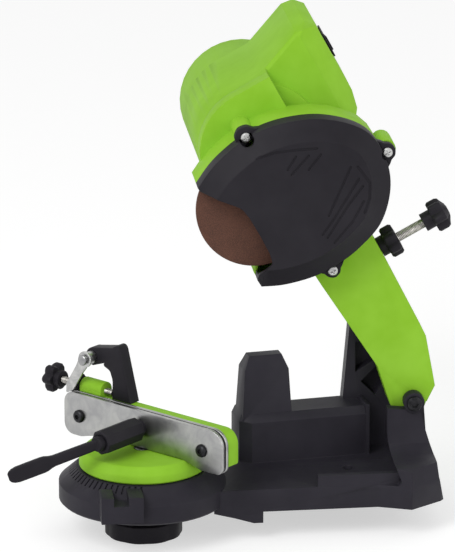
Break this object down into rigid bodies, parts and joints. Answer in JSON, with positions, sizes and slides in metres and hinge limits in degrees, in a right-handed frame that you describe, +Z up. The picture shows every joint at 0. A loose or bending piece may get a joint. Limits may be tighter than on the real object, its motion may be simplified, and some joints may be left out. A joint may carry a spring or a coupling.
{
  "type": "electric chainsaw sharpener",
  "caption": "Bench-mounted electric sharpener for saw chain: a hinged motor head with a grinding wheel over a swivelling chain vise on a moulded base.",
  "frame": {"origin": "point on the underside of the bench foot, where it rests on the bench", "axes": "+X from the chain vise towards the head's pivot, +Y from the wheel's cover towards the motor's rear, +Z up"},
  "size_m": [0.3871, 0.28, 0.4257],
  "materials": {
    "green_shell": "injection-moulded satin yellow-green shell",
    "vise_green": "injection-moulded satin yellow-green",
    "black_plastic": "fine-textured black moulded plastic",
    "base_plastic": "fine-textured charcoal glass-filled plastic",
    "zinc_steel": "bright zinc-plated steel",
    "steel": "plain turned steel",
    "black_steel": "blackened steel",
    "abrasive": "vitrified brown abrasive grit",
    "copper": "copper windings and segments",
    "carbon": "pressed carbon"
  },
  "bodies": {
    "base_body": {"base": "base_plastic", "pivot_pin": "steel", "pivot_nut": "zinc_steel", "return_spring": "steel"},
    "grinding_head": {"wheel_housing": "green_shell", "motor_casing": "green_shell", "front_cover": "black_plastic", "cover_screw_top": "zinc_steel", "cover_screw_right": "zinc_steel", "cover_screw_bottom": "zinc_steel", "switch_body": "black_plastic", "cord_gland": "black_plastic", "spindle_bearing_front": "steel", "spindle_bearing_rear": "steel", "motor_bearing_front": "steel", "motor_bearing_rear": "steel", "stator": "black_steel", "brush_left": "carbon", "brush_right": "carbon"},
    "wheel_spindle": {"grinding_wheel": "abrasive", "inner_flange": "steel", "outer_flange": "zinc_steel", "spindle_nut": "zinc_steel", "spindle": "steel", "drive_gear": "black_steel"},
    "rotor": {"motor_shaft": "steel", "motor_pinion": "black_steel", "cooling_fan": "black_plastic", "armature": "copper", "commutator": "copper"},
    "rocker": {"switch_rocker": "black_plastic"},
    "depth_screw": {"depth_rod": "zinc_steel"},
    "depth_screw_knob": {"depth_knob": "black_plastic"},
    "depth_nut": {"depth_lock_nut": "black_plastic"},
    "vise": {"vise_table": "vise_green", "rear_rail_plate": "zinc_steel", "clamp_bolt": "steel", "clamp_stud": "steel", "rail_screw_left": "black_steel", "rail_screw_right": "black_steel"},
    "table_washer": {"clamp_washer": "zinc_steel"},
    "table_knob": {"clamp_knob": "black_plastic"},
    "moving_jaw": {"front_rail_plate": "zinc_steel"},
    "lever": {"lever_barrel": "black_plastic", "clamp_lever": "black_plastic"},
    "stop_carriage": {"stop_arm": "black_plastic", "pawl_pin": "steel", "pawl_bush": "zinc_steel"},
    "pawl": {"chain_pawl": "zinc_steel"},
    "stop_adjuster": {"stop_screw": "zinc_steel", "stop_knob": "black_plastic"},
    "stop_nut": {"stop_lock_nut": "black_plastic"}
  },
  "joints": [
    {"name": "head_swing", "type": "hinge", "parent": "base_body", "child": "grinding_head", "pos_m": [0.0955, 0.03, 0.0787], "axis": [0, -1, 0], "range_deg": [0, 34], "stiffness_Nm_per_rad": 4, "springref_deg": -74.48, "deforming": ["return_spring"]},
    {"name": "wheel_spin", "type": "hinge", "parent": "grinding_head", "child": "wheel_spindle", "pos_m": [-0.04181, 0, 0.25769], "axis": [0, 1, 0], "continuous": true},
    {"name": "motor_spin", "type": "hinge", "parent": "grinding_head", "child": "rotor", "pos_m": [-0.03123, 0.03, 0.29833], "axis": [0, 1, 0], "continuous": true},
    {"name": "switch_press", "type": "hinge", "parent": "grinding_head", "child": "rocker", "pos_m": [0.03128, 0.118, 0.36863], "axis": [0.4818, 0, -0.8763], "range_deg": [0, 9]},
    {"name": "depth_screw_travel", "type": "slide", "parent": "grinding_head", "child": "depth_screw", "axis": [0.8763, 0, 0.4818], "range_m": [0, 0.012]},
    {"name": "depth_knob_turn", "type": "hinge", "parent": "depth_screw", "child": "depth_screw_knob", "pos_m": [0.11437, 0.032, 0.23514], "axis": [0.8763, 0, 0.4818], "range_deg": [0, 3457]},
    {"name": "depth_nut_turn", "type": "hinge", "parent": "grinding_head", "child": "depth_nut", "pos_m": [0.07844, 0.032, 0.21539], "axis": [0.8763, 0, 0.4818], "range_deg": [-20, 20]},
    {"name": "table_swivel", "type": "hinge", "parent": "base_body", "child": "vise", "pos_m": [-0.137, 0, 0.042], "axis": [0, 0, 1], "range_deg": [-35, 35]},
    {"name": "table_release", "type": "slide", "parent": "vise", "child": "table_washer", "axis": [0, 0, -1], "range_m": [0, 0.0018]},
    {"name": "table_knob_turn", "type": "hinge", "parent": "table_washer", "child": "table_knob", "pos_m": [-0.137, 0, -0.02], "axis": [0, 0, -1], "range_deg": [0, 518.4]},
    {"name": "jaw_slide", "type": "slide", "parent": "vise", "child": "moving_jaw", "axis": [0.723, 0.6909, 0], "range_m": [0, 0.0006]},
    {"name": "lever_turn", "type": "hinge", "parent": "moving_jaw", "child": "lever", "pos_m": [-0.15869, -0.02073, 0.068], "axis": [0.723, 0.6909, 0], "range_deg": [0, 70.1]},
    {"name": "stop_slide", "type": "slide", "parent": "vise", "child": "stop_carriage", "axis": [0.6909, -0.723, 0], "range_m": [0, 0.008]},
    {"name": "stop_screw_turn", "type": "hinge", "parent": "stop_carriage", "child": "stop_adjuster", "pos_m": [-0.20432, 0.08782, 0.085], "axis": [0.6909, -0.723, 0], "range_deg": [0, 2880]},
    {"name": "stop_nut_turn", "type": "hinge", "parent": "vise", "child": "stop_nut", "pos_m": [-0.1836, 0.06613, 0.085], "axis": [0.6909, -0.723, 0], "range_deg": [-30, 30]},
    {"name": "pawl_lift", "type": "hinge", "parent": "stop_carriage", "child": "pawl", "pos_m": [-0.18191, 0.04699, 0.114], "axis": [0.723, 0.6909, 0], "range_deg": [0, 60]}
  ],
  "couplings": [
    {"joint": "motor_spin", "follows": "wheel_spin", "ratio": -1.9474},
    {"joint": "depth_knob_turn", "follows": "depth_screw_travel", "rad_per_m": 5026.5},
    {"joint": "table_release", "follows": "table_knob_turn", "m_per_rad": 0.00019894},
    {"joint": "lever_turn", "follows": "jaw_slide", "rad_per_m": 2036.2},
    {"joint": "stop_slide", "follows": "stop_screw_turn", "m_per_rad": 0.00015915}
  ]
}
